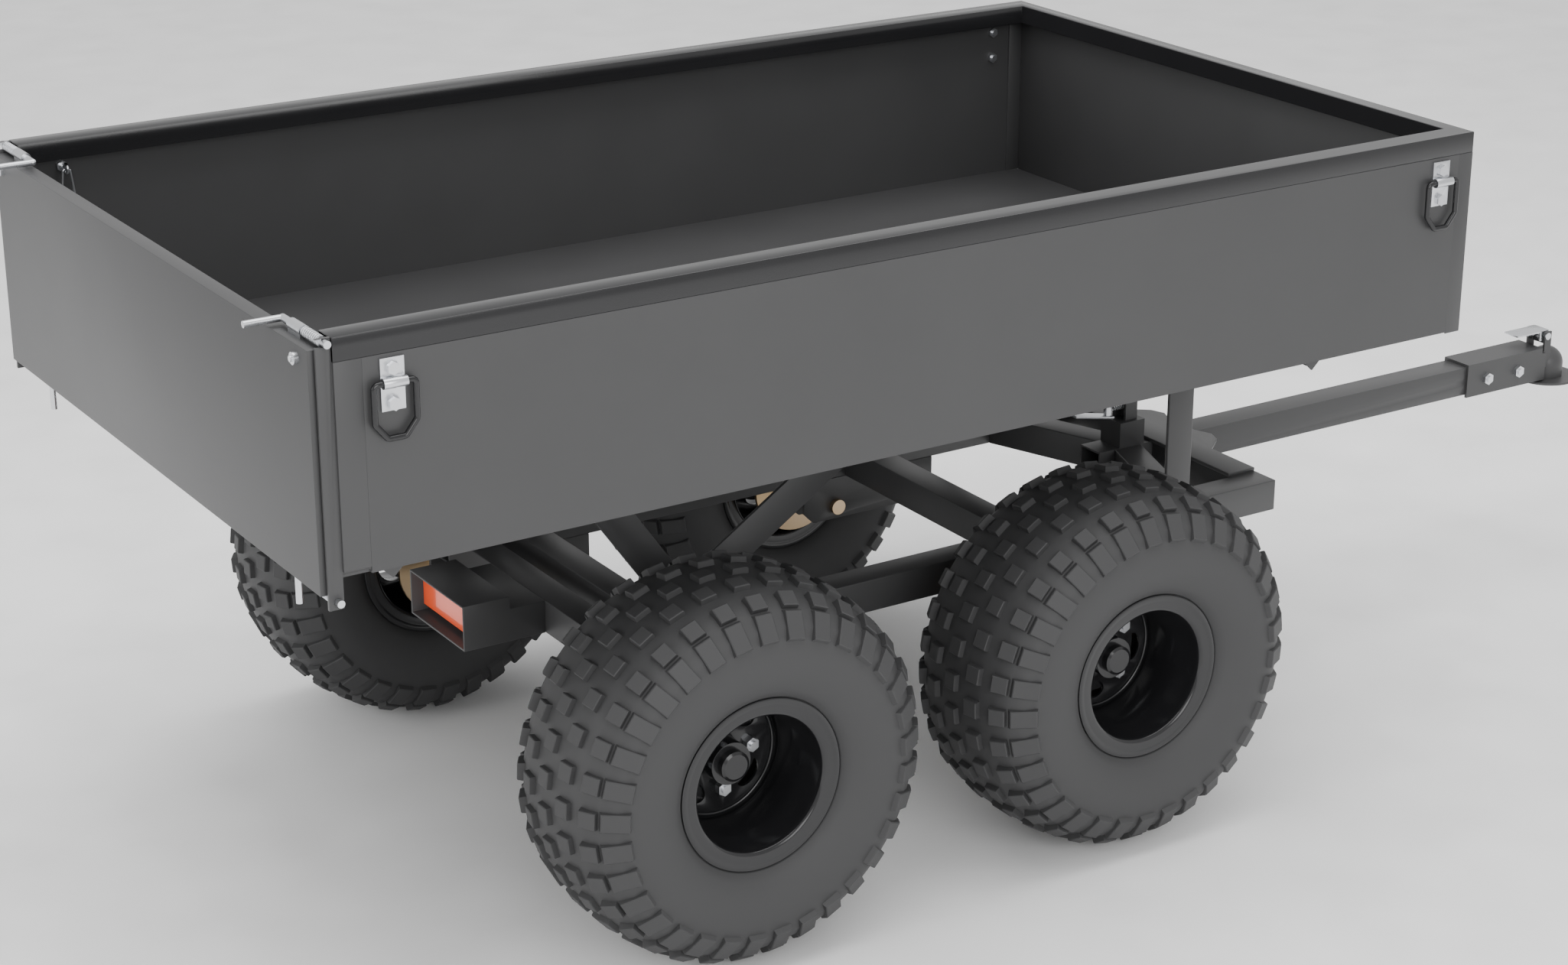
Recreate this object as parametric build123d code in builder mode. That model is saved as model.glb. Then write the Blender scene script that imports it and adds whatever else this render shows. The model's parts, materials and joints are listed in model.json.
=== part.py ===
"""Tow-behind tandem dump cart with a tilting steel bed, four wheels and a ball coupler.

Millimetres.  +X points to the hitch, +Y to the left, +Z up.  The origin is the middle of the
footprint on the ground.  Lengths along the cart are given from the bed's rear face and moved
into the model frame by along().
"""

import os
from math import atan2, cos, degrees, hypot, radians, sin

from build123d import *

os.makedirs("parts", exist_ok=True)

# ---------------------------------------------------------------- driving dimensions
nose_reach = 2698.0  # bed rear face to the tip of the coupler
handle_reach = 60.0  # how far the upper bolt handles stand out behind the bed
rear = -(nose_reach - handle_reach) / 2

bed_length = 1844.0
bed_half = 560.0  # half of the bed's width
bed_bottom = 698.0
bed_top = 1002.0
sheet = 2.0  # side and front panels
floor_sheet = 3.0
rail_wide, rail_tall = 38.0, 31.0  # tube along the top edge
post_rear, post_front = 37.0, 28.0  # corner posts, along X

tube, tube_wall = 50.8, 3.0
chassis_bottom = 330.0
chassis_top = chassis_bottom + tube
chassis_half = 276.4  # outer face of each side rail
chassis_rear, chassis_front = 522.0, 1751.0
pivot_tube_x = 612.0  # rear face of each cross tube
middle_tube_x = 1254.0
bar_half = tube / 2  # the drawbar's half width

axle_x = (575.0, 1237.0)
axle_z = 279.5
tyre_r, tyre_half = 279.5, 135.0
wheel_mid = 488.0  # tyre's middle plane, from the cart's middle
rim_half, rim_r = 108.0, 126.0
disc_y, disc_thick = 475.0, 5.0  # inboard face of the wheel disc
nut_pcd = 101.6
nut_count = 4
spindle_r = 12.7

pivot_x, pivot_z = 637.5, 424.0  # the bed tilts about this line
pin_r = 8.0
running = 0.05  # radial clearance of a pin that turns

bolt_x = -8.0  # draw bolts' centre line, from the bed's rear face
bolt_low_z, bolt_high_z = 665.0, 996.0
bolt_rod_r, barrel_r = 5.0, 7.4
barrel_in, barrel_out = 464.0, 500.0
collar_y = 546.0

socket_r = 25.8  # seat for a 2 in ball
ball_x, ball_z = 2640.0, 345.0


def along(x):
    """Model X of a point x in front of the bed's rear face."""
    return rear + x


def save(piece, name):
    """Label the finished sub-part and write its STEP file."""
    piece.part.label = name
    export_step(piece.part, f"parts/{name}.step")


def block(x0, x1, y0, y1, z0, z1, mode=Mode.ADD):
    """Box between two corners, x from the bed's rear face."""
    with Locations((along((x0 + x1) / 2), (y0 + y1) / 2, (z0 + z1) / 2)):
        Box(abs(x1 - x0), abs(y1 - y0), abs(z1 - z0), mode=mode)


def rod(start, end, radius, mode=Mode.ADD):
    """Round bar from start to end, model coordinates."""
    run = Vector(*end) - Vector(*start)
    with BuildSketch(Plane(origin=start, z_dir=run)) as section:
        Circle(radius)
    extrude(section.sketch, amount=run.length, mode=mode)


def cross_rod(x, z, y0, y1, radius, mode=Mode.ADD):
    """Round bar along Y at x from the bed's rear face."""
    rod((along(x), y0, z), (along(x), y1, z), radius, mode)


def hex_bar(x, z, y0, y1, across, mode=Mode.ADD):
    """Hexagon bar along Y, such as a nut or a bolt head."""
    with BuildSketch(Plane(origin=(along(x), y0, z), z_dir=(0, y1 - y0, 0))) as section:
        RegularPolygon(across / 2, 6, major_radius=False)
    extrude(section.sketch, amount=abs(y1 - y0), mode=mode)


def square_tube(start, end):
    """Open square tube between two model points."""
    run = Vector(*end) - Vector(*start)
    upright = Vector(1, 0, 0) if abs(run.Z) > 1 else Vector(0, 0, 1)
    with BuildSketch(Plane(origin=start, x_dir=run.cross(upright), z_dir=run)) as section:
        Rectangle(tube, tube)
        Rectangle(tube - 2 * tube_wall, tube - 2 * tube_wall, mode=Mode.SUBTRACT)
    extrude(section.sketch, amount=run.length)


def side_plate(points, y0, y1, mode=Mode.ADD):
    """Flat plate in an XZ plane; its outline gives x from the bed's rear face, and z."""
    near = Plane(origin=(rear, max(y0, y1), 0), x_dir=(1, 0, 0), z_dir=(0, -1, 0))
    with BuildSketch(near) as section:
        with BuildLine():
            Polyline(*points, close=True)
        make_face()
    extrude(section.sketch, amount=abs(y1 - y0), mode=mode)


def flat_bar(x0, z0, x1, z1, wide, y0, y1):
    """Flat bar between two hole centres in an XZ plane, with rounded ends."""
    reach = hypot(x1 - x0, z1 - z0)
    middle = ((x0 + x1) / 2, (z0 + z1) / 2)
    near = Plane(origin=(rear, max(y0, y1), 0), x_dir=(1, 0, 0), z_dir=(0, -1, 0))
    with BuildSketch(near) as section:
        with Locations(Location((*middle, 0), (0, 0, degrees(atan2(z1 - z0, x1 - x0))))):
            SlotCenterToCenter(reach, wide)
    extrude(section.sketch, amount=abs(y1 - y0))

def coil(start, direction, length, radius, wire, turns):
    """Helical spring of round wire from start along direction."""
    place = Plane(origin=start, z_dir=direction)
    path = place.location * Helix(length / turns, length, radius, mode=Mode.PRIVATE)
    with BuildSketch(Plane(origin=path @ 0, z_dir=path % 0)) as section:
        Circle(wire)
    sweep(section.sketch, path=path, is_frenet=True)


def loop(points, bend, wire):
    """Closed ring of round wire through the points, its corners bent to a radius."""
    with BuildLine() as outline:
        FilletPolyline(*points, radius=bend, close=True)
    path = outline.wires()[0]
    with BuildSketch(Plane(origin=path @ 0, z_dir=path % 0)) as section:
        Circle(wire)
    sweep(section.sketch, path=path)


# ---------------------------------------------------------------- chassis
chassis_mid_z = chassis_bottom + tube / 2
rail_mid_y = chassis_half - tube / 2
rail_inner = chassis_half - tube

with BuildPart() as side_rails:
    for side in (-1, 1):
        square_tube((along(chassis_rear), side * rail_mid_y, chassis_mid_z),
                    (along(chassis_front), side * rail_mid_y, chassis_mid_z))
save(side_rails, "side_rails")

# the two swept tubes run from the side rails forward and inward to the drawbar
brace_x, brace_sweep = 1576.0, 0.362
with BuildPart() as cross_tubes:
    for side in (-1, 1):
        outer = (along(brace_x - 60 * brace_sweep), side * (rail_inner + 60), chassis_mid_z)
        inner = (along(brace_x + rail_inner * brace_sweep), 0, chassis_mid_z)
        square_tube(outer, inner)
    for side in (-1, 1):
        block(1400, chassis_front, side * rail_inner, side * (rail_inner + 200),
              chassis_bottom - 1, chassis_top + 1, Mode.SUBTRACT)
    block(1400, chassis_front, -bar_half, bar_half, chassis_bottom - 1, chassis_top + 1,
          Mode.SUBTRACT)
    for x in (chassis_rear, pivot_tube_x, middle_tube_x):
        middle = along(x + tube / 2)
        square_tube((middle, -rail_inner, chassis_mid_z), (middle, rail_inner, chassis_mid_z))
    middle = along(chassis_front - tube / 2)
    for side in (-1, 1):
        square_tube((middle, side * bar_half, chassis_mid_z),
                    (middle, side * rail_inner, chassis_mid_z))
save(cross_tubes, "cross_tubes")

bar_rear, bar_front = 1590.0, 2560.0
coupler_bolt_x, coupler_bolt_z, coupler_bolt_r = (2462.0, 2538.0), 354.0, 6.0
with BuildPart() as drawbar:
    square_tube((along(bar_rear), 0, chassis_mid_z), (along(bar_front), 0, chassis_mid_z))
    for x in coupler_bolt_x:
        cross_rod(x, coupler_bolt_z, -tube, tube, coupler_bolt_r + 0.2, Mode.SUBTRACT)
save(drawbar, "drawbar")

gusset_thick = 6.0
gusset_rear, gusset_shoulder, gusset_nose = 1695.0, 1750.0, 1797.0
with BuildPart() as drawbar_gusset:
    with BuildSketch(Plane(origin=(rear, 0, chassis_top))):
        with BuildLine():
            Polyline((gusset_rear, -rail_inner), (gusset_shoulder, -rail_inner),
                     (gusset_shoulder, -118), (1788, -86), (gusset_nose, -62),
                     (1785, -32), (1785, 32), (gusset_nose, 62), (1788, 86),
                     (gusset_shoulder, 118), (gusset_shoulder, rail_inner),
                     (gusset_rear, rail_inner), close=True)
        make_face()
    extrude(amount=gusset_thick)
save(drawbar_gusset, "drawbar_gusset")

hanger_back, hanger_ahead, hanger_bottom = 63.0, 193.0, 258.0
hanger_thick, hanger_chamfer = 6.0, 18.0
with BuildPart() as axle_hangers:
    for x in axle_x:
        x0, x1 = x - hanger_back, x + hanger_ahead
        low, cut = hanger_bottom, hanger_chamfer
        outline = [(x0, chassis_bottom), (x0, low + cut), (x0 + cut, low),
                   (x1 - cut, low), (x1, low + cut), (x1, chassis_bottom)]
        for y in (rail_inner, chassis_half - hanger_thick):
            for side in (-1, 1):
                side_plate(outline, side * y, side * (y + hanger_thick))
        cross_rod(x, axle_z, -chassis_half - 1, chassis_half + 1, spindle_r, Mode.SUBTRACT)
save(axle_hangers, "axle_hangers")

# rear housing: an open box with the reflector set inside its mouth
housing_x, housing_deep, housing_half = 389.0, 76.0, 86.0
housing_top, housing_wall = 400.0, 3.0
with BuildPart() as rear_housing:
    w = housing_wall
    block(housing_x, housing_x + housing_deep, -housing_half, housing_half,
          chassis_bottom, housing_top)
    block(housing_x + housing_deep, chassis_rear, -housing_half, housing_half,
          chassis_bottom, chassis_top)
    block(housing_x - 1, housing_x + housing_deep - w, w - housing_half, housing_half - w,
          chassis_bottom + w, housing_top - w, Mode.SUBTRACT)
    block(housing_x + housing_deep, chassis_rear + 1, w - housing_half, housing_half - w,
          chassis_bottom + w, chassis_top - w, Mode.SUBTRACT)
save(rear_housing, "rear_housing")

reflector_inset, reflector_thick = 20.0, 8.0
with BuildPart() as reflector:
    block(housing_x + reflector_inset, housing_x + reflector_inset + reflector_thick,
          housing_wall - housing_half, housing_half - housing_wall,
          chassis_bottom + 12, housing_top - housing_wall)
save(reflector, "reflector")

# ---------------------------------------------------------------- tilt pivot and rests
lug_thick, lug_half, strut_thick = 6.0, 28.0, 6.0
strut_y = chassis_half + 0.5
lug_y = chassis_half - lug_thick
with BuildPart() as pivot_lugs:
    for side in (-1, 1):
        cross_rod(pivot_x, pivot_z, side * lug_y, side * chassis_half, lug_half)
        block(pivot_x - lug_half, pivot_x + lug_half, side * lug_y, side * chassis_half,
              chassis_top, pivot_z)
    cross_rod(pivot_x, pivot_z, -chassis_half - 1, chassis_half + 1, pin_r, Mode.SUBTRACT)
save(pivot_lugs, "pivot_lugs")

post_x, post_wide, post_thick = 1517.0, 50.0, 6.0
runner_bottom, rest_gap = 646.0, 0.5
with BuildPart() as front_posts:
    for side in (-1, 1):
        block(post_x, post_x + post_wide, side * chassis_half,
              side * (chassis_half + post_thick), chassis_bottom + 4, runner_bottom - rest_gap)
        block(post_x, post_x + post_wide, side * (rail_inner + 10), side * chassis_half,
              runner_bottom - rest_gap - 5, runner_bottom - rest_gap)
save(front_posts, "front_posts")

# ---------------------------------------------------------------- tilt latch
tower_x, tower_top = 1631.0, 424.0
cheek_y, cheek_thick = 12.0, 5.0
lever_x, lever_z, lever_pin_r = 1617.0, 590.0, 6.0
stop_x = 1660.0
with BuildPart() as latch_post:
    square_tube((along(tower_x + bar_half), 0, chassis_top),
                (along(tower_x + bar_half), 0, tower_top - 4))
    block(tower_x, tower_x + tube, -bar_half, bar_half, tower_top - 4, tower_top)
    cheek = [(1648, tower_top), (1648, 560), (1603, 574), (1603, 604), (1622, 622),
             (1672, 622), (1672, tower_top)]
    for side in (-1, 1):
        side_plate(cheek, side * cheek_y, side * (cheek_y + cheek_thick))
    block(stop_x, stop_x + 4, -cheek_y, cheek_y, tower_top, 465)
    cross_rod(lever_x, lever_z, -20, 20, lever_pin_r, Mode.SUBTRACT)
save(latch_post, "latch_post")

lever_half, boss_r = 4.0, 11.0
spring_z, spring_rear = 447.0, 1629.3
with BuildPart() as latch_lever:
    arm = [(1618, 432), (1629, 432), (1629, 570), (1631, 600), (1631, 636), (1639, 641),
           (1636, 652), (1620, 655), (1612, 640), (1606, 600), (1606, 580), (1618, 560)]
    side_plate(arm, -lever_half, lever_half)
    side_plate([(1550, 444), (1550, 448), (1624, 433), (1629, 433), (1629, 429), (1624, 429)],
               -11, 11)
    cross_rod(lever_x, lever_z, 0.5 - cheek_y, cheek_y - 0.5, boss_r)
    cross_rod(lever_x, lever_z, -cheek_y, cheek_y, lever_pin_r + running, Mode.SUBTRACT)
save(latch_lever, "latch_lever")

with BuildPart() as latch_spring:
    start = (along(spring_rear + 1.2), 0, spring_z)
    coil(start, (1, 0, 0), stop_x - spring_rear - 2.6, 7.0, 1.1, 6)
save(latch_spring, "latch_spring")

# ---------------------------------------------------------------- coupler
cover_x, cover_front = 2415.0, 2598.0
cover_half, cover_top, cover_low = 30.0, 386.0, 325.0
shell_r, skirt_r, skirt_z = 31.0, 58.0, 318.0
hand_x, hand_z, hand_pin_r = 2616.0, 404.0, 4.0  # the hand lever's pin
with BuildPart() as coupler_body:
    block(cover_x, cover_front + 10, -cover_half, cover_half, cover_low, cover_top)
    block(cover_x - 1, bar_front + 2, -bar_half, bar_half, cover_low - 1, chassis_top,
          Mode.SUBTRACT)
    with Locations((along(ball_x), 0, ball_z)):
        Sphere(shell_r)
    with BuildSketch(Plane(origin=(along(ball_x), 0, skirt_z))):
        Circle(skirt_r)
    with BuildSketch(Plane(origin=(along(ball_x), 0, skirt_z + 4))):
        Circle(skirt_r)
    loft()
    with Locations((along(ball_x), 0, (skirt_z + ball_z) / 2)):
        Cylinder(shell_r, ball_z - skirt_z)
    for side in (-1, 1):
        block(2606, 2626, side * 18.5, side * 22.5, ball_z, 412)
    block(cover_front + 0.5, cover_front + 12, -40, 40, 376, 420, Mode.SUBTRACT)
    with Locations((along(ball_x), 0, ball_z)):
        Sphere(socket_r, mode=Mode.SUBTRACT)
    rod((along(ball_x), 0, ball_z), (along(ball_x), 0, ball_z - shell_r - 1),
        socket_r + 0.4, Mode.SUBTRACT)
    cross_rod(hand_x, hand_z, -30, 30, hand_pin_r, Mode.SUBTRACT)
    for x in coupler_bolt_x:
        cross_rod(x, coupler_bolt_z, -tube, tube, coupler_bolt_r, Mode.SUBTRACT)
save(coupler_body, "coupler_body")

with BuildPart() as coupler_bolts:
    for x in coupler_bolt_x:
        cross_rod(x, coupler_bolt_z, -cover_half - 10, cover_half + 10, coupler_bolt_r)
        for side in (-1, 1):
            hex_bar(x, coupler_bolt_z, side * cover_half, side * (cover_half + 7), 19)
save(coupler_bolts, "coupler_bolts")

handle_half, handle_thick = 17.0, 3.0
with BuildPart() as coupler_latch:
    block(2546, 2623.5, -handle_half, handle_half, 411, 414)
    block(2620.5, 2623.5, -handle_half, handle_half, 386, 411)
    for side in (-1, 1):
        block(2602, 2621, side * (handle_half - handle_thick), side * handle_half, 395, 412)
    cross_rod(hand_x, hand_z, -20, 20, hand_pin_r + running, Mode.SUBTRACT)
save(coupler_latch, "coupler_latch")

# ---------------------------------------------------------------- clevis pins
pin_head_y = strut_y + strut_thick + 0.5
with BuildPart() as hinge_pins:
    for side in (-1, 1):
        cross_rod(pivot_x, pivot_z, side * (lug_y - 12), side * (pin_head_y + 1), pin_r)
        cross_rod(pivot_x, pivot_z, side * pin_head_y, side * (pin_head_y + 6), pin_r + 6)
        hex_bar(pivot_x, pivot_z, side * (lug_y - 10), side * lug_y, 24)
        cross_rod(lever_x, lever_z, side * 17, side * 20, 10)
        cross_rod(hand_x, hand_z, side * 22.5, side * 24.5, 6.5)
    cross_rod(lever_x, lever_z, -22, 22, lever_pin_r)
    cross_rod(hand_x, hand_z, -24, 24, hand_pin_r)
save(hinge_pins, "hinge_pins")

# ---------------------------------------------------------------- bed
tie_x, tie_bar_z, tie_bar_y = (75.0, 1780.0), 936.0, 568.0
tie_bolt_z, tie_bolt_r = (908.0, 953.0), 5.0
eye_z = 953.0
bed_front = bed_length - sheet

with BuildPart() as bed_floor:
    block(0, bed_front, 6 - bed_half, bed_half - 6, bed_bottom - floor_sheet, bed_bottom)
save(bed_floor, "bed_floor")

for side, name in ((-1, "right_side_panel"), (1, "left_side_panel")):
    with BuildPart() as side_panel:
        block(post_rear, bed_length - post_front, side * (bed_half - sheet), side * bed_half,
              bed_bottom - floor_sheet, bed_top - rail_tall)
        block(post_rear, bed_length - post_front, side * (bed_half - 6), side * bed_half,
              bed_bottom - floor_sheet, bed_bottom)
        for x in tie_x:
            for z in tie_bolt_z:
                cross_rod(x, z, side * (bed_half - 9), side * (bed_half + 9), tie_bolt_r,
                          Mode.SUBTRACT)
    save(side_panel, name)

with BuildPart() as front_panel:
    block(bed_front, bed_length, 6 - bed_half, bed_half - 6,
          bed_bottom - floor_sheet, bed_top - rail_tall)
save(front_panel, "front_panel")

rail_mid = (bed_top - rail_tall / 2)
front_rail = 26.0
with BuildPart() as top_rails:
    for side in (-1, 1):
        block(0, bed_length, side * (bed_half - rail_wide), side * bed_half,
              bed_top - rail_tall, bed_top)
    block(bed_length - front_rail, bed_length, rail_wide - bed_half, bed_half - rail_wide,
          bed_top - rail_tall, bed_top)
    for side in (-1, 1):
        block(-1, bed_length - 2, side * (bed_half - rail_wide + 2), side * (bed_half - 2),
              bed_top - rail_tall + 2, bed_top - 2, Mode.SUBTRACT)
save(top_rails, "top_rails")

# rear posts carry a full-height plate that reaches behind the bed for the draw bolts
plate_in, plate_out, plate_back, plate_bottom = 551.0, 556.0, 20.0, 655.0
with BuildPart() as corner_posts:
    for side in (-1, 1):
        block(0, post_rear, side * (bed_half - 6), side * bed_half, 703, bed_top - rail_tall)
        block(bed_length - post_front, bed_length, side * (bed_half - 6), side * bed_half,
              bed_bottom, bed_top - rail_tall)
        block(bed_length - post_front, bed_length, side * (bed_half - sheet), side * bed_half,
              693, bed_bottom)
        block(-plate_back, 0, side * plate_in, side * plate_out, plate_bottom, bed_top)
    cross_rod(bolt_x, bolt_low_z, -bed_half, bed_half, bolt_rod_r + running, Mode.SUBTRACT)
    cross_rod(bolt_x, bolt_high_z, -bed_half, bed_half, bolt_rod_r + 0.4, Mode.SUBTRACT)
    notch = bolt_rod_r + 0.4
    block(-plate_back - 1, bolt_x, -bed_half, bed_half, bolt_high_z - notch,
          bolt_high_z + notch, Mode.SUBTRACT)
save(corner_posts, "corner_posts")

runner_rear, runner_front = 30.0, 1800.0
cross_x, cross_wide, cross_bottom = (52.0, 1569.0 - 22), 44.0, 674.0
striker_x, striker_z = 1650.0, 640.0
with BuildPart() as bed_underframe:
    under = bed_bottom - floor_sheet
    for side in (-1, 1):
        inner, outer = side * rail_inner, side * strut_y
        block(runner_rear, runner_front, inner, outer, runner_bottom, under)
        block(runner_rear - 1, runner_front + 1, inner + side * 3, outer - side * 3,
              runner_bottom + 3, under - 3, Mode.SUBTRACT)
    for x in cross_x:
        block(x, x + cross_wide, 1 - rail_inner, rail_inner - 1, under - 3, under)
        for side in (-1, 1):
            block(x, x + 3, 0, side * rail_inner, cross_bottom, under)
            block(x, x + cross_wide, side * strut_y, side * 545, under - 3, under)
            side_plate([(x, under), (x + cross_wide, under), (x + cross_wide / 2, cross_bottom)],
                       side * 538, side * 541)
            block(x + cross_wide / 2 - 1.5, x + cross_wide / 2 + 1.5, side * strut_y,
                  side * 540, cross_bottom + 4, under)
    for side in (-1, 1):
        block(striker_x - 10, striker_x + 10, side * 20, side * 25, striker_z - 8, under)
    cross_rod(striker_x, striker_z, -25, 25, 5)
save(bed_underframe, "bed_underframe")

strut_wide, strut_top = 50.8, 668.0
strut_rear_x = pivot_x - (strut_top - pivot_z) / 1.4
strut_front_x = pivot_x + (strut_top - pivot_z) / 0.65
with BuildPart() as tilt_struts:
    for side in (-1, 1):
        for foot_x in (strut_rear_x, strut_front_x):
            flat_bar(pivot_x, pivot_z, foot_x, strut_top, strut_wide,
                     side * strut_y, side * (strut_y + strut_thick))
    cross_rod(pivot_x, pivot_z, -chassis_half - 9, chassis_half + 9, pin_r + running,
              Mode.SUBTRACT)
save(tilt_struts, "tilt_struts")

# ---------------------------------------------------------------- tie-downs
bracket_half, bracket_low, bracket_high, bracket_thick = 16.0, 899.0, 966.0, 3.0
ring_r, ring_half = 4.0, 28.0
with BuildPart() as tie_down_brackets:
    for x in tie_x:
        for side in (-1, 1):
            block(x - bracket_half, x + bracket_half, side * bed_half,
                  side * (bed_half + bracket_thick), bracket_low, bracket_high)
            bar = (along(x - bracket_half), side * tie_bar_y, tie_bar_z)
            bar_end = (along(x + bracket_half), side * tie_bar_y, tie_bar_z)
            rod(bar, bar_end, ring_r + 3)
            rod(bar, bar_end, ring_r + running, Mode.SUBTRACT)
        for z in tie_bolt_z:
            cross_rod(x, z, -bed_half - 12, bed_half + 12, tie_bolt_r, Mode.SUBTRACT)
save(tie_down_brackets, "tie_down_brackets")

# each bolt head is outside; inside there is a nut, or an eye at the upper rear bolts
with BuildPart() as tie_down_bolts:
    for x in tie_x:
        for z in tie_bolt_z:
            for side in (-1, 1):
                face = bed_half + bracket_thick
                hex_bar(x, z, side * face, side * (face + 5.5), 15)
                cross_rod(x, z, side * (bed_half - 12), side * (face + 1), tie_bolt_r)
                hex_bar(x, z, side * (bed_half - sheet - 6), side * (bed_half - sheet), 15)
save(tie_down_bolts, "tie_down_bolts")

eye_y, eye_ring_r, eye_wire = 537.0, 6.5, 2.5
eye_x = tie_x[0]
with BuildPart() as eye_bolts:
    for side in (-1, 1):
        with Locations(Location((along(eye_x), side * eye_y, eye_z), (0, 90, 0))):
            Torus(eye_ring_r, eye_wire)
        cross_rod(eye_x, eye_z, side * (eye_y + eye_ring_r), side * (bed_half - 12), 4)
save(eye_bolts, "eye_bolts")

for i, x in enumerate(tie_x):
    for side, name in ((-1, "right"), (1, "left")):
        end = ("rear", "front")[i]
        with BuildPart() as tie_down_ring:
            y = side * tie_bar_y
            loop([(along(x + ring_half), y, tie_bar_z),
                  (along(x + ring_half), y, 886), (along(x + 12), y, 866),
                  (along(x - 12), y, 866), (along(x - ring_half), y, 886),
                  (along(x - ring_half), y, tie_bar_z)], 6, ring_r)
        save(tie_down_ring, f"tie_down_ring_{end}_{name}")

link_r = 2.0
for side, name in ((-1, "right"), (1, "left")):
    with BuildPart() as snap_hook:
        y, top = side * eye_y, eye_z - eye_ring_r + 5.2
        loop([(along(eye_x + 5.2), y, top), (along(eye_x + 10), y, 914),
              (along(eye_x + 6), y, 906), (along(eye_x - 6), y, 906),
              (along(eye_x - 10), y, 914), (along(eye_x - 5.2), y, top)], 3.5, link_r)
    save(snap_hook, f"snap_hook_{name}")

# ---------------------------------------------------------------- tailgate
gate_back, gate_front, gate_half = -27.0, -4.0, 547.0
gate_low, gate_high, gate_sheet = 672.4, 987.0, 2.0
with BuildPart() as tailgate_panel:
    block(gate_back, gate_front, -gate_half, gate_half, gate_low, gate_high)
    block(gate_back + gate_sheet, gate_front + 1, gate_sheet - gate_half,
          gate_half - gate_sheet, gate_low + gate_sheet, gate_high - gate_sheet, Mode.SUBTRACT)
save(tailgate_panel, "tailgate_panel")

with BuildPart() as tailgate_screws:
    for side in (-1, 1):
        start = (along(gate_back), side * 515, 970)
        rod(start, (along(gate_back - 6), side * 515, 970), 8)
        rod(start, (along(gate_back - 9), side * 515, 970), 4)
save(tailgate_screws, "tailgate_screws")

with BuildPart() as bolt_barrels:
    for side in (-1, 1):
        for z in (bolt_low_z, bolt_high_z):
            cross_rod(bolt_x, z, side * barrel_in, side * barrel_out, barrel_r)
        block(bolt_x - 6, bolt_x + 4, side * barrel_in, side * barrel_out,
              bolt_low_z, gate_low)
        block(bolt_x - 6, bolt_x + 4, side * barrel_in, side * barrel_out,
              gate_high, bolt_high_z)
    for z in (bolt_low_z, bolt_high_z):
        cross_rod(bolt_x, z, -bed_half, bed_half, bolt_rod_r + running, Mode.SUBTRACT)
save(bolt_barrels, "bolt_barrels")

with BuildPart() as bolt_springs:
    for z in (bolt_low_z, bolt_high_z):
        for side in (-1, 1):
            start = (along(bolt_x), side * (barrel_out + 1.1), z)
            coil(start, (0, side, 0), collar_y - barrel_out - 2.2, 6.2, 0.8, 9)
save(bolt_springs, "bolt_springs")

bolt_in, bolt_out, handle_r = 437.0, 565.0, 4.5
for side, hand in ((-1, "right"), (1, "left")):
    for z, level in ((bolt_low_z, "lower"), (bolt_high_z, "upper")):
        with BuildPart() as draw_bolt:
            cross_rod(bolt_x, z, side * bolt_in, side * bolt_out, bolt_rod_r)
            cross_rod(bolt_x, z, side * collar_y, side * (collar_y + 3), 7)
            bend = (along(bolt_x), side * bolt_in, z)
            with Locations(bend):
                Sphere(bolt_rod_r)
            drop = (along(bolt_x), side * bolt_in, z - 43)
            back = (along(-handle_reach), side * bolt_in, z)
            rod(bend, drop if level == "lower" else back, handle_r)
        save(draw_bolt, f"draw_bolt_{level}_{hand}")

# ---------------------------------------------------------------- wheels
hub_in, hub_out, hub_r, hub_bore = 366.0, 516.0, 31.0, 22.0
bearing_y, bearing_wide = ((372.0, 386.0), (496.0, 510.0)), 14.0
cap_out, cap_r = 529.0, 22.0
brake_r, brake_y = 81.0, 347.0

with BuildPart() as wheel_spindles:
    for x in axle_x:
        for side in (-1, 1):
            cross_rod(x, axle_z, side * (rail_inner - 8), side * 514, spindle_r)
            cross_rod(x, axle_z, side * brake_y, side * (brake_y + 6), brake_r)
            cross_rod(x, axle_z, side * (brake_y + 6), side * (brake_y + 14), 50)
save(wheel_spindles, "wheel_spindles")

with BuildPart() as wheel_bearings:
    for x in axle_x:
        for side in (-1, 1):
            for y0, y1 in bearing_y:
                cross_rod(x, axle_z, side * y0, side * y1, hub_bore - running)
        cross_rod(x, axle_z, -hub_out, hub_out, spindle_r, Mode.SUBTRACT)
save(wheel_bearings, "wheel_bearings")

with BuildPart() as spindle_nuts:
    for x in axle_x:
        for side in (-1, 1):
            hex_bar(x, axle_z, side * 510, side * 518, 30)
        cross_rod(x, axle_z, -514, 514, spindle_r, Mode.SUBTRACT)
save(spindle_nuts, "spindle_nuts")


def turned(x, side, points):
    """Solid of revolution about a wheel's axle from (distance out along Y, radius) points."""
    origin = (along(x), 0, axle_z)
    with BuildSketch(Plane(origin=origin, x_dir=(0, side, 0), z_dir=(side, 0, 0))) as section:
        with BuildLine():
            Polyline(*points, close=True)
        make_face()
    revolve(section.sketch, axis=Axis(origin, (0, 1, 0)), revolution_arc=360)


def nut_places(first):
    """Angles of the wheel nuts round the axle."""
    return [first + i * 360 / nut_count for i in range(nut_count)]


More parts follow.
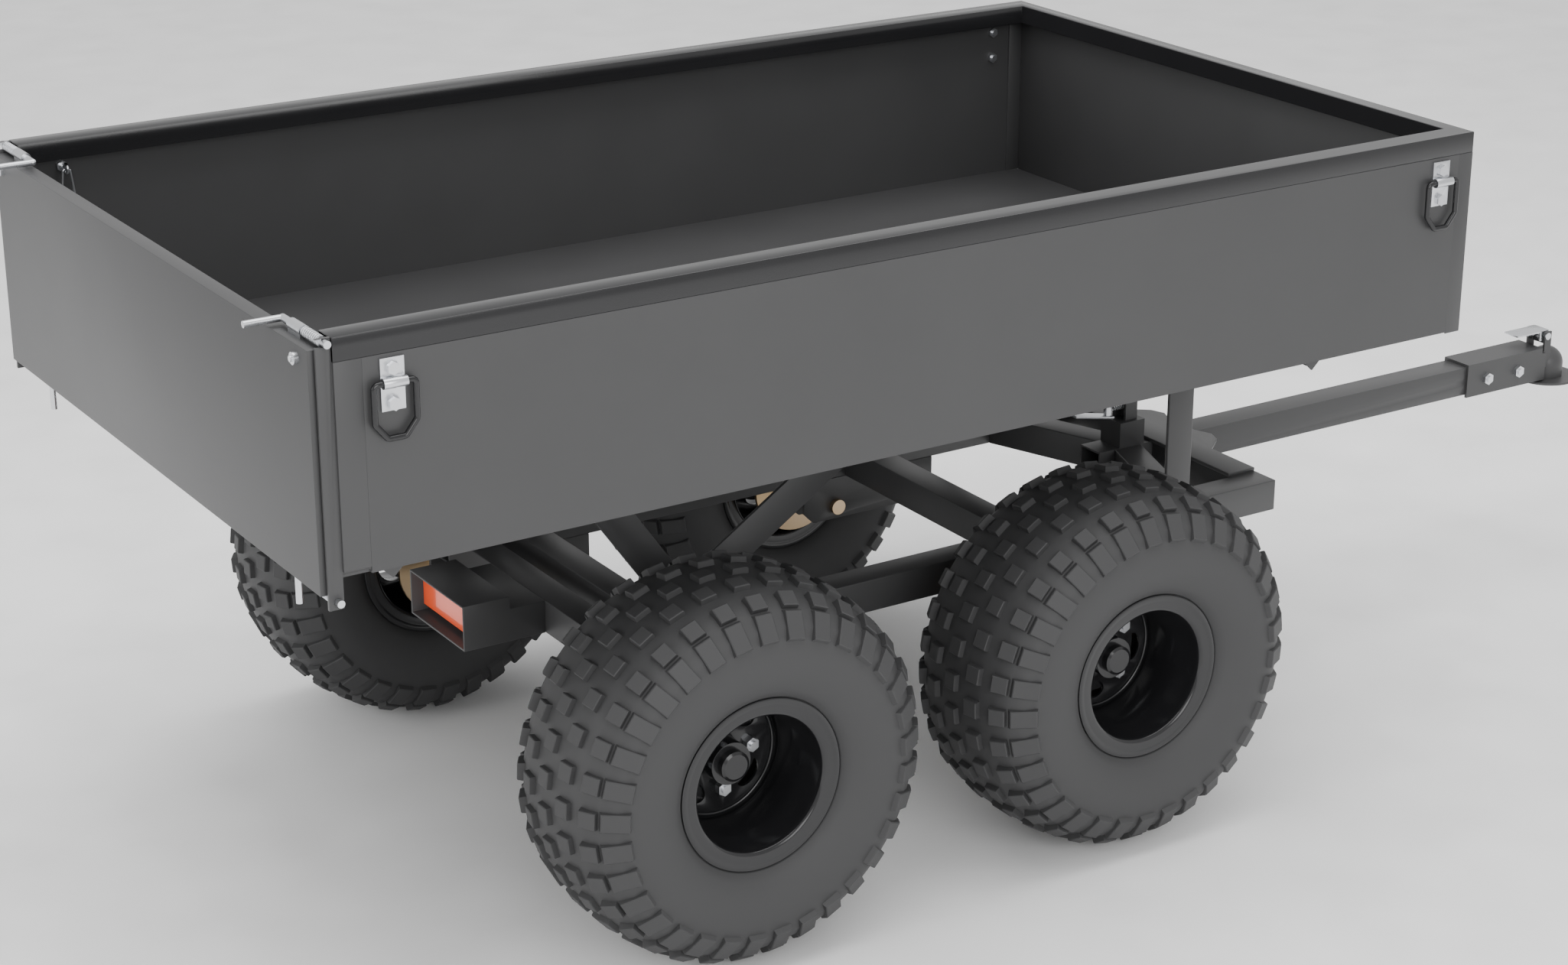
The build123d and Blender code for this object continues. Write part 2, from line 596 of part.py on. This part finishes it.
bead = wheel_mid + rim_half
seat_r = 101.6
w0, w1 = wheel_mid - rim_half, wheel_mid + rim_half
rim_outline = [(w1, rim_r), (w1 - 4, rim_r), (w1 - 4, seat_r), (560, seat_r), (548, 96),
               (430, 96), (418, seat_r), (w0 + 4, seat_r), (w0 + 4, rim_r), (w0, rim_r),
               (w0, seat_r - 3), (417, seat_r - 3), (429, 93), (549, 93), (561, seat_r - 3),
               (w1, seat_r - 3)]
half_tyre = [(104, 102), (104, 128), (118, 140), (130, 165), (135, 195), (135, 225),
             (132, 248), (124, 265), (108, 274), (75, 278.5), (0, tyre_r)]
inner_tyre = [(0, 262), (70, 261), (100, 256), (114, 246), (119, 225), (120, 195),
              (114, 168), (102, 146), (92, 128), (92, 102)]
outer = [(wheel_mid + y, r) for y, r in half_tyre]
outer += [(wheel_mid - y, r) for y, r in reversed(half_tyre[:-1])]
inner = [(wheel_mid - y, r) for y, r in reversed(inner_tyre)]
inner += [(wheel_mid + y, r) for y, r in inner_tyre[1:]]
tyre_outline = outer + inner

for i, x in enumerate(axle_x):
    for side, hand in ((-1, "right"), (1, "left")):
        name = ("rear", "front")[i] + "_" + hand
        first = (6.0, 40.0)[i]
        hub_outline = [(hub_in, hub_bore), (hub_in, hub_r), (disc_y - 6, hub_r),
                       (disc_y - 6, 66), (disc_y, 66), (disc_y, hub_r), (hub_out, hub_r),
                       (hub_out, cap_r), (cap_out - 2, cap_r), (cap_out, cap_r - 4),
                       (cap_out, 0), (cap_out - 2, 0), (cap_out - 2, cap_r - 4),
                       (hub_out - 2, cap_r - 2), (hub_out - 2, hub_bore)]
        with BuildPart() as hub:
            turned(x, side, hub_outline)
        save(hub, f"hub_{name}")

        with BuildPart() as rim:
            turned(x, side, rim_outline)
            turned(x, side, [(disc_y, hub_r + 0.3), (disc_y, 94), (disc_y + disc_thick, 94),
                             (disc_y + disc_thick, hub_r + 0.3)])
            for angle in nut_places(first):
                for turn, reach, hole in ((0, nut_pcd / 2, 7.0), (45, 74, 10.0)):
                    bearing = radians(angle + turn)
                    hx, hz = x + reach * cos(bearing), axle_z + reach * sin(bearing)
                    cross_rod(hx, hz, side * (disc_y - 1), side * (disc_y + 9), hole,
                              Mode.SUBTRACT)
        save(rim, f"rim_{name}")

        with BuildPart() as lug_nuts:
            for angle in nut_places(first):
                bearing = radians(angle)
                nx = x + nut_pcd / 2 * cos(bearing)
                nz = axle_z + nut_pcd / 2 * sin(bearing)
                top = disc_y + disc_thick
                hex_bar(nx, nz, side * top, side * (top + 11), 19)
                cross_rod(nx, nz, side * disc_y, side * (top + 15), 6)
        save(lug_nuts, f"lug_nuts_{name}")

        with BuildPart() as tyre:
            turned(x, side, tyre_outline)
        save(tyre, f"tyre_{name}")
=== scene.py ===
# %% [markdown]
# # A tow-behind dump cart
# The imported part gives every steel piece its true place. Here each piece gets the look of the
# real one: folded steel has soft edges, tyres have separate rubber blocks, and paint, zinc and
# rubber each have their own surface.

import json
from math import atan2, cos, pi, radians, sin

import bpy
from mathutils import Matrix, Vector

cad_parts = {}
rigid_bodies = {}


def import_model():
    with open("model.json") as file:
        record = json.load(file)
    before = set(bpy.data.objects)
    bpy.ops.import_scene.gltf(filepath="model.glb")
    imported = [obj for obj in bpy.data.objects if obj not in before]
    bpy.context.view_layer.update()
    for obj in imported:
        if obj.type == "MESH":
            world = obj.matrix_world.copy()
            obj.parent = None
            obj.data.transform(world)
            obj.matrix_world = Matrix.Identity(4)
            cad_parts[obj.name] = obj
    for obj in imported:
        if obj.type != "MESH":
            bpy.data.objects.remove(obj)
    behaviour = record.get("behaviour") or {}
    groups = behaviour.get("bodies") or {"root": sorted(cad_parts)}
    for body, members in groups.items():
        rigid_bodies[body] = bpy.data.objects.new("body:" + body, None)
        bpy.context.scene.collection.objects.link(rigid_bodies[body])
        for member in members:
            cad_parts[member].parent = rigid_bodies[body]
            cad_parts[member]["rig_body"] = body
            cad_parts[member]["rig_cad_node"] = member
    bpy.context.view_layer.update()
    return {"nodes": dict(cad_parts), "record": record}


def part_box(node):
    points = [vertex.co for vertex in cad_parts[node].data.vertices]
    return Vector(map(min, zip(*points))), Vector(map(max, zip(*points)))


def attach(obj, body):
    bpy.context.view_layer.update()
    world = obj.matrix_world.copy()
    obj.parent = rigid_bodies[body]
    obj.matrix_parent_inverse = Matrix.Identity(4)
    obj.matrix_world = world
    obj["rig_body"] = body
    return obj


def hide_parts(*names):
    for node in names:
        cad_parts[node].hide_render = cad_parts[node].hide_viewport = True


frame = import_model()
cad = frame["nodes"]
bpy.ops.object.select_all(action="DESELECT")

# %% [markdown]
# ## Finishes
# A finish is more than a colour. Powder coat has a fine orange peel that breaks up reflections,
# zinc plating varies in brightness, and rubber is dull with a little dust. Each is a Principled
# shader with noise on its roughness and a small bump. The noise reads Object coordinates, so the
# grain has one size all over the cart.


# %% A helper that makes one finish
def finish_of(name, colour, metallic, roughness, spread, grain, bump, second=None):
    """Material whose colour and roughness vary softly, with a fine bump."""
    material = bpy.data.materials.new(name)
    material.use_nodes = True
    tree = material.node_tree
    shader = tree.nodes["Principled BSDF"]
    shader.inputs["Metallic"].default_value = metallic
    place = tree.nodes.new("ShaderNodeTexCoord")
    cloud = tree.nodes.new("ShaderNodeTexNoise")
    cloud.inputs["Scale"].default_value = 6.0
    cloud.inputs["Detail"].default_value = 4.0
    speck = tree.nodes.new("ShaderNodeTexNoise")
    speck.inputs["Scale"].default_value = grain
    speck.inputs["Detail"].default_value = 2.0
    tint = tree.nodes.new("ShaderNodeMix")
    tint.data_type = "RGBA"
    other = second or tuple(c * 1.25 for c in colour)
    tint.inputs["A"].default_value = (*colour, 1)
    tint.inputs["B"].default_value = (*other, 1)
    rough = tree.nodes.new("ShaderNodeMapRange")
    rough.inputs["To Min"].default_value = roughness - spread
    rough.inputs["To Max"].default_value = roughness + spread
    relief = tree.nodes.new("ShaderNodeBump")
    relief.inputs["Strength"].default_value = bump
    relief.inputs["Distance"].default_value = 0.0004
    link = tree.links.new
    link(place.outputs["Object"], cloud.inputs["Vector"])
    link(place.outputs["Object"], speck.inputs["Vector"])
    link(cloud.outputs["Fac"], tint.inputs["Factor"])
    link(tint.outputs["Result"], shader.inputs["Base Color"])
    link(cloud.outputs["Fac"], rough.inputs["Value"])
    link(rough.outputs["Result"], shader.inputs["Roughness"])
    link(speck.outputs["Fac"], relief.inputs["Height"])
    link(relief.outputs["Normal"], shader.inputs["Normal"])
    return material


# %% The finishes of this cart
finishes = {
    "black_paint": finish_of("satin powder coat", (0.045, 0.045, 0.046), 0.0, 0.42, 0.04, 900, 0.12),
    "gloss_black": finish_of("gloss powder coat", (0.012, 0.012, 0.013), 0.0, 0.16, 0.03, 700, 0.06),
    "tyre_rubber": finish_of("tyre rubber", (0.035, 0.035, 0.036), 0.0, 0.62, 0.06, 1200, 0.25),
    "zinc": finish_of("bright zinc", (0.62, 0.63, 0.65), 1.0, 0.28, 0.08, 400, 0.10),
    "yellow_zinc": finish_of(
        "yellow zinc", (0.75, 0.52, 0.22), 1.0, 0.3, 0.08, 400, 0.10, (0.62, 0.5, 0.42)
    ),
    "reflector_red": finish_of("reflector", (0.85, 0.09, 0.02), 0.0, 0.18, 0.04, 300, 0.3),
}
finishes["reflector_red"].node_tree.nodes["Principled BSDF"].inputs[
    "Coat Weight"
].default_value = 0.6
slot_of = {s["node"]: s["material_slot"] for s in frame["record"]["subparts"]}
for node, piece in cad.items():
    piece.data.materials.clear()
    piece.data.materials.append(finishes[slot_of[node]])
print("finishes", len(finishes))

# %% [markdown]
# ## Softened steel
# Folded sheet, rolled tube and forged hardware never have knife edges. A bright line along each
# edge is most of what makes painted steel look real. Each steel node is copied, its triangles
# are merged into whole faces, and a Bevel modifier rounds the edges by the radius that the sheet
# or tube would have. The copy then stands in for the node.


# %% A helper that softens one node
def softened(node, radius, steps=2):
    """A copy of a steel node with rounded edges, riding on the same body."""
    source = cad[node]
    bpy.ops.object.select_all(action="DESELECT")
    piece = source.copy()
    piece.data = source.data.copy()
    piece.name = node + "_soft"
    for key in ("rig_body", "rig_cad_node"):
        if key in piece:
            del piece[key]
    piece.parent = None
    bpy.context.scene.collection.objects.link(piece)
    bpy.context.view_layer.objects.active = piece
    piece.select_set(True)
    bpy.ops.object.mode_set(mode="EDIT")
    bpy.ops.mesh.select_all(action="SELECT")
    bpy.ops.mesh.remove_doubles(threshold=0.00001)
    bpy.ops.mesh.dissolve_limited(angle_limit=radians(0.5))
    bpy.ops.object.mode_set(mode="OBJECT")
    edge = piece.modifiers.new("rounded edges", "BEVEL")
    edge.width = radius
    edge.segments = steps
    edge.limit_method = "ANGLE"
    edge.angle_limit = radians(40)
    edge.use_clamp_overlap = True
    bpy.ops.object.modifier_apply(modifier=edge.name)
    bpy.ops.object.shade_smooth_by_angle(angle=radians(35))
    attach(piece, source["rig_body"])
    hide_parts(node)
    return piece


# %% Chassis, bed and tailgate steel
edge_radius = {
    0.0025: ("side_rails", "cross_tubes", "drawbar", "top_rails", "tilt_struts", "front_posts"),
    0.0012: ("drawbar_gusset", "axle_hangers", "rear_housing", "coupler_latch", "latch_lever"),
    0.0008: ("tailgate_panel", "front_panel", "corner_posts", "tie_down_brackets"),
}
soft_pieces = []
for radius, nodes in edge_radius.items():
    for node in nodes:
        soft_pieces.append(softened(node, radius))
print("softened", len(soft_pieces), "faces", sum(len(p.data.polygons) for p in soft_pieces))

# %% [markdown]
# ## Turned shapes
# A tyre carcass and a wheel rim are bodies of revolution. A circle is added on the axle and its
# ring of edges is extruded outward again and again, each time moved along the axle and scaled to
# the next radius, as a potter pulls up a wall. Closing the last ring on the first makes a solid
# skin.


# %% A helper that turns a profile round an axle
def turned(name, axle, side, profile, segments):
    """Closed skin of revolution from (distance out along Y, radius) points."""
    bpy.ops.object.select_all(action="DESELECT")
    out, radius = profile[0]
    bpy.ops.mesh.primitive_circle_add(
        vertices=segments, radius=radius, location=(axle.x, side * out, axle.z),
        rotation=(pi / 2, 0, 0),
    )
    piece = bpy.context.object
    piece.name = name
    bpy.ops.object.transform_apply(location=True, rotation=True, scale=True)
    bpy.ops.object.mode_set(mode="EDIT")
    bpy.ops.mesh.select_all(action="SELECT")
    for (y0, r0), (y1, r1) in zip(profile, profile[1:] + profile[:1]):
        bpy.ops.mesh.extrude_region_move(
            TRANSFORM_OT_translate={"value": (0, side * (y1 - y0), 0)}
        )
        bpy.ops.transform.resize(
            value=(r1 / r0, 1, r1 / r0), center_override=(axle.x, side * y1, axle.z)
        )
    bpy.ops.mesh.select_all(action="SELECT")
    bpy.ops.mesh.remove_doubles(threshold=0.00002)
    bpy.ops.mesh.normals_make_consistent(inside=False)
    bpy.ops.object.mode_set(mode="OBJECT")
    return piece


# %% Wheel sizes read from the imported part
wheels = [f"{end}_{side}" for end in ("rear", "front") for side in ("right", "left")]
tyre_low, tyre_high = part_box("tyre_rear_right")
tyre_radius = (tyre_high.z - tyre_low.z) / 2
tyre_half = (tyre_high.y - tyre_low.y) / 2
wheel_mid = -(tyre_high.y + tyre_low.y) / 2
rim_low, rim_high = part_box("rim_rear_right")
rim_radius = (rim_high.z - rim_low.z) / 2
rim_half = (rim_high.y - rim_low.y) / 2
print("tyre", round(tyre_radius, 4), round(tyre_half, 4), "rim", round(rim_radius, 4))


def axle_of(wheel):
    """Middle of a wheel."""
    low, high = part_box("tyre_" + wheel)
    return (low + high) / 2


# %% [markdown]
# ## Tyres
# The real tyre is a low-pressure balloon: the tread runs round into the sidewall with no hard
# shoulder. Rows of separate square blocks stand on it, each row shifted by half a pitch, and long
# wedge-shaped lugs run down onto the sidewall. The carcass is turned, one pitch of blocks is
# modelled, and a spin with copies sets it all the way round.

# %% The carcass profile
block_tall = 0.0085
crown = tyre_radius - block_tall
bead_half = rim_half - 0.0045
half_profile = [
    (bead_half, 0.1018),
    (bead_half, 0.1265),
    (bead_half + 0.0045, 0.1285),
    (0.1165, 0.141),
    (0.1235, 0.158),
    (0.1278, 0.178),
    (0.1285, 0.196),
    (0.1262, 0.214),
    (0.1195, 0.2315),
    (0.1075, 0.2465),
    (0.0905, 0.2575),
    (0.068, 0.265),
    (0.042, 0.2693),
    (0.014, crown),
]
inner_profile = [(0.05, 0.254), (0.095, 0.243), (0.113, 0.215), (0.115, 0.18), (0.1, 0.14)]
carcass = [(wheel_mid + y, r) for y, r in half_profile]
carcass += [(wheel_mid - y, r) for y, r in reversed(half_profile)]
carcass += [(wheel_mid - bead_half + 0.012, 0.1018)]
carcass += [(wheel_mid - y, r) for y, r in reversed(inner_profile)]
carcass += [(wheel_mid + y, r) for y, r in inner_profile]
carcass += [(wheel_mid + bead_half - 0.012, 0.1018)]
print("carcass points", len(carcass))


# %% [markdown]
# ### One pitch of tread
# Each block starts as a cube and is sized and leaned to lie on the carcass. Its top face is
# pinched in so that the flanks slope like moulded rubber, and its rim is bevelled once. The lugs
# on the shoulder are longer and reach down the sidewall.

# %% Tread sizes
pitch_count = 33
pitch = 2 * pi / pitch_count
block_root = 0.006
block_rows = ((0.0, 0.5), (0.046, 0.0), (-0.046, 0.0), (0.0905, 0.0), (-0.0905, 0.0))


def crown_at(out):
    """Radius and lean of the carcass at a distance from its middle plane."""
    for (y1, r1), (y0, r0) in zip(half_profile[7:], half_profile[8:]):
        if y0 <= abs(out) <= y1:
            share = (abs(out) - y0) / (y1 - y0)
            lean = atan2(r0 - r1, y1 - y0)
            return r0 + (r1 - r0) * share, lean if out > 0 else -lean
    return crown, 0.0


# %% A helper that makes one rubber block
def tread_block(axle, out, radius, lean, turn, wide, long, tall, pinch):
    """One block standing on the carcass of the wheel at axle."""
    bpy.ops.object.select_all(action="DESELECT")
    bpy.ops.mesh.primitive_cube_add(size=1, scale=(long, wide, tall + block_root))
    piece = bpy.context.object
    bpy.ops.object.transform_apply(location=True, rotation=True, scale=True)
    bpy.ops.object.mode_set(mode="EDIT")
    bpy.ops.mesh.select_all(action="DESELECT")
    bpy.ops.object.mode_set(mode="OBJECT")
    for face in piece.data.polygons:
        face.select = face.normal.z > 0.9
    bpy.ops.object.mode_set(mode="EDIT")
    bpy.ops.transform.resize(value=(pinch, pinch, 1), center_override=(0, 0, 0))
    bpy.ops.mesh.bevel(offset=0.0011, segments=1)
    bpy.ops.object.mode_set(mode="OBJECT")
    piece.matrix_world = (
        Matrix.Translation(axle)
        @ Matrix.Rotation(turn, 4, "Y")
        @ Matrix.Translation((0, out, radius + (tall - block_root) / 2))
        @ Matrix.Translation((0, 0, -(tall - block_root) / 2))
        @ Matrix.Rotation(-lean, 4, "X")
        @ Matrix.Translation((0, 0, (tall - block_root) / 2))
    )
    bpy.ops.object.transform_apply(location=True, rotation=True, scale=True)
    return piece


# %% Build one tyre: turned carcass, blocks spun round it
def build_tyre(wheel, turn):
    """The whole tyre of one wheel, its tread turned by an angle."""
    axle = axle_of(wheel)
    side = 1 if axle.y > 0 else -1
    skin = turned("tyre_skin_" + wheel, axle, side, carcass, 120)
    bpy.ops.object.shade_smooth_by_angle(angle=radians(50))
    blocks = []
    for out, shift in block_rows:
        radius, lean = crown_at(out)
        angle = turn + shift * pitch
        blocks.append(tread_block(axle, out, radius, lean, angle, 0.027, 0.027, 0.0078, 0.9))
    for way in (-1, 1):
        blocks.append(
            tread_block(axle, way * 0.1175, 0.2325, way * 1.02, turn, 0.044, 0.029, 0.0052, 0.88)
        )
    bpy.ops.object.select_all(action="DESELECT")
    for block in blocks:
        block.select_set(True)
    bpy.context.view_layer.objects.active = blocks[0]
    bpy.ops.object.join()
    tread = bpy.context.object
    bpy.ops.object.mode_set(mode="EDIT")
    bpy.ops.mesh.select_all(action="SELECT")
    bpy.ops.mesh.spin(
        steps=pitch_count, angle=2 * pi, dupli=True, center=axle, axis=(0, 1, 0)
    )
    bpy.ops.mesh.select_all(action="SELECT")
    bpy.ops.mesh.remove_doubles(threshold=0.00002)
    bpy.ops.mesh.normals_make_consistent(inside=False)
    bpy.ops.object.mode_set(mode="OBJECT")
    skin.select_set(True)
    tread.select_set(True)
    bpy.context.view_layer.objects.active = skin
    bpy.ops.object.join()
    tyre = bpy.context.object
    tyre.name = "tyre_look_" + wheel
    tyre.data.materials.clear()
    tyre.data.materials.append(finishes["tyre_rubber"])
    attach(tyre, "wheel_" + wheel)
    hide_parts("tyre_" + wheel)
    return tyre


tyres = [build_tyre(wheel, 0.06 * i) for i, wheel in enumerate(wheels)]
print("tyre faces", [len(t.data.polygons) for t in tyres])

# %% [markdown]
# ## Rims
# The rim is rolled from sheet: a rounded lip, a step, a seat for the tyre's bead and a deep
# dropped centre. The wheel disc is a separate stamping with a hub hole, nut holes and four
# windows, cut with Boolean modifiers, and a pressed rib near its edge stiffens it.

# %% The rim profile
half_rim = [
    (0.1042, 0.1250),
    (0.1055, 0.1259),
    (0.1072, 0.1255),
    (0.1079, 0.1238),
    (0.1077, 0.1205),
    (0.1068, 0.1172),
    (0.1062, 0.1145),
    (0.1062, 0.1050),
    (0.1048, 0.1012),
    (0.1015, 0.0990),
    (0.0960, 0.0986),
    (0.0730, 0.0986),
    (0.0610, 0.0934),
    (0.0300, 0.0930),
]
rim_back = [(0.0600, 0.0962), (0.0720, 0.1014), (0.1025, 0.1014), (0.1040, 0.1030)]
rim_profile = [(wheel_mid + y, r) for y, r in half_rim]
rim_profile += [(wheel_mid - y, r) for y, r in reversed(half_rim)]
rim_profile += [(wheel_mid - y, r) for y, r in reversed(rim_back)]
rim_profile += [(wheel_mid + y, r) for y, r in rim_back]
disc_mid = 0.4775
disc_thick = 0.005
nut_circle = 0.0508
print("rim points", len(rim_profile))


# %% A helper that cuts one hole through the disc
def cut_hole(disc, x, y, z, wide, tall, angle):
    """Boolean hole along Y with an oval outline, turned in the disc's plane."""
    bpy.ops.object.select_all(action="DESELECT")
    bpy.ops.mesh.primitive_cylinder_add(vertices=40, radius=1, depth=1)
    cutter = bpy.context.object
    cutter.matrix_world = (
        Matrix.Translation((x, y, z))
        @ Matrix.Rotation(-angle, 4, "Y")
        @ Matrix.Rotation(pi / 2, 4, "X")
        @ Matrix.Diagonal((wide, tall, 0.03, 1))
    )
    bpy.ops.object.transform_apply(location=True, rotation=True, scale=True)
    hole = disc.modifiers.new("hole", "BOOLEAN")
    hole.operation = "DIFFERENCE"
    hole.solver = "EXACT"
    hole.object = cutter
    bpy.context.view_layer.objects.active = disc
    bpy.ops.object.modifier_apply(modifier=hole.name)
    bpy.data.objects.remove(cutter)


# %% Build one rim
def build_rim(wheel):
    """Rolled rim and stamped disc of one wheel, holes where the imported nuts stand."""
    axle = axle_of(wheel)
    side = 1 if axle.y > 0 else -1
    skin = turned("rim_skin_" + wheel, axle, side, rim_profile, 144)
    bpy.ops.object.shade_smooth_by_angle(angle=radians(40))
    bpy.ops.object.select_all(action="DESELECT")
    bpy.ops.mesh.primitive_cylinder_add(
        vertices=144, radius=0.0942, depth=disc_thick,
        location=(axle.x, side * disc_mid, axle.z), rotation=(pi / 2, 0, 0),
    )
    disc = bpy.context.object
    bpy.ops.object.transform_apply(location=True, rotation=True, scale=True)
    cut_hole(disc, axle.x, side * disc_mid, axle.z, 0.0313, 0.0313, 0)
    nuts = cad["lug_nuts_" + wheel].data.vertices
    tip = max(nuts, key=lambda v: abs(v.co.y)).co
    first = atan2(tip.z - axle.z, tip.x - axle.x)
    for i in range(4):
        angle = first + i * pi / 2
        x, z = axle.x + nut_circle * cos(angle), axle.z + nut_circle * sin(angle)
        cut_hole(disc, x, side * disc_mid, z, 0.0066, 0.0066, 0)
        angle += pi / 4
        x, z = axle.x + 0.063 * cos(angle), axle.z + 0.063 * sin(angle)
        cut_hole(disc, x, side * disc_mid, z, 0.0145, 0.022, angle)
    bpy.ops.object.select_all(action="DESELECT")
    disc.select_set(True)
    bpy.context.view_layer.objects.active = disc
    edge = disc.modifiers.new("pressed edges", "BEVEL")
    edge.width = 0.0011
    edge.segments = 2
    edge.limit_method = "ANGLE"
    bpy.ops.object.modifier_apply(modifier=edge.name)
    bpy.ops.object.shade_smooth_by_angle(angle=radians(40))
    bpy.ops.mesh.primitive_torus_add(
        major_radius=0.0885, minor_radius=0.0032, major_segments=120, minor_segments=16,
        location=(axle.x, side * (disc_mid + disc_thick / 2), axle.z), rotation=(pi / 2, 0, 0),
    )
    rib = bpy.context.object
    bpy.ops.object.transform_apply(location=True, rotation=True, scale=True)
    bpy.ops.object.shade_smooth()
    for part in (skin, disc):
        part.select_set(True)
    bpy.context.view_layer.objects.active = skin
    bpy.ops.object.join()
    rim = bpy.context.object
    rim.name = "rim_look_" + wheel
    rim.data.materials.clear()
    rim.data.materials.append(finishes["gloss_black"])
    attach(rim, "wheel_" + wheel)
    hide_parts("rim_" + wheel)
    return rim


rims = [build_rim(wheel) for wheel in wheels]
print("rim faces", [len(r.data.polygons) for r in rims])

# %% [markdown]
# ## Stage, light and camera
# A white sweep with broad soft light from above and behind the camera suits black paint: the
# large bright areas give it long reflections, and nothing dark stands round it.

# %% Pale floor and surrounding light
bpy.ops.object.select_all(action="DESELECT")
bpy.ops.mesh.primitive_plane_add(size=60, location=(0, 0, -0.0005))
floor = bpy.context.object
floor.name = "floor"
bpy.ops.object.mode_set(mode="EDIT")
bpy.ops.mesh.subdivide(number_cuts=4)
bpy.ops.object.mode_set(mode="OBJECT")
floor.data.materials.append(finish_of("pale floor", (0.9, 0.9, 0.9), 0.0, 0.8, 0.02, 50, 0.0))
world = bpy.data.worlds.new("studio")
bpy.context.scene.world = world
world.use_nodes = True
world.node_tree.nodes["Background"].inputs["Color"].default_value = (1, 1, 1, 1)
world.node_tree.nodes["Background"].inputs["Strength"].default_value = 0.9


# %% Soft lamps
def soft_lamp(name, place, target, width, height, power):
    """Rectangular area lamp aimed at a point."""
    bpy.ops.object.light_add(type="AREA", location=place)
    lamp = bpy.context.object
    lamp.name = name
    lamp.data.shape = "RECTANGLE"
    lamp.data.size = width
    lamp.data.size_y = height
    lamp.data.energy = power
    aim = Vector(target) - Vector(place)
    lamp.rotation_euler = aim.to_track_quat("-Z", "Y").to_euler()
    return lamp


soft_lamp("overhead", (0, 0, 4.2), (0, 0, 0.5), 5.0, 3.5, 160)
soft_lamp("near side", (-1.5, -5.5, 2.6), (0, 0, 0.5), 4.0, 2.5, 120)
soft_lamp("behind", (-5.5, 0.5, 2.2), (-1, 0, 0.5), 3.0, 2.5, 60)

# %% Camera
bpy.ops.object.camera_add(location=(-2.7311, -3.7632, 2.1209))
camera = bpy.context.object
heading = Vector((0.50359, 0.78903, -0.35188))
camera.rotation_euler = heading.to_track_quat("-Z", "Y").to_euler()
camera.data.sensor_width = 36
camera.data.lens = 70.8
bpy.context.scene.camera = camera
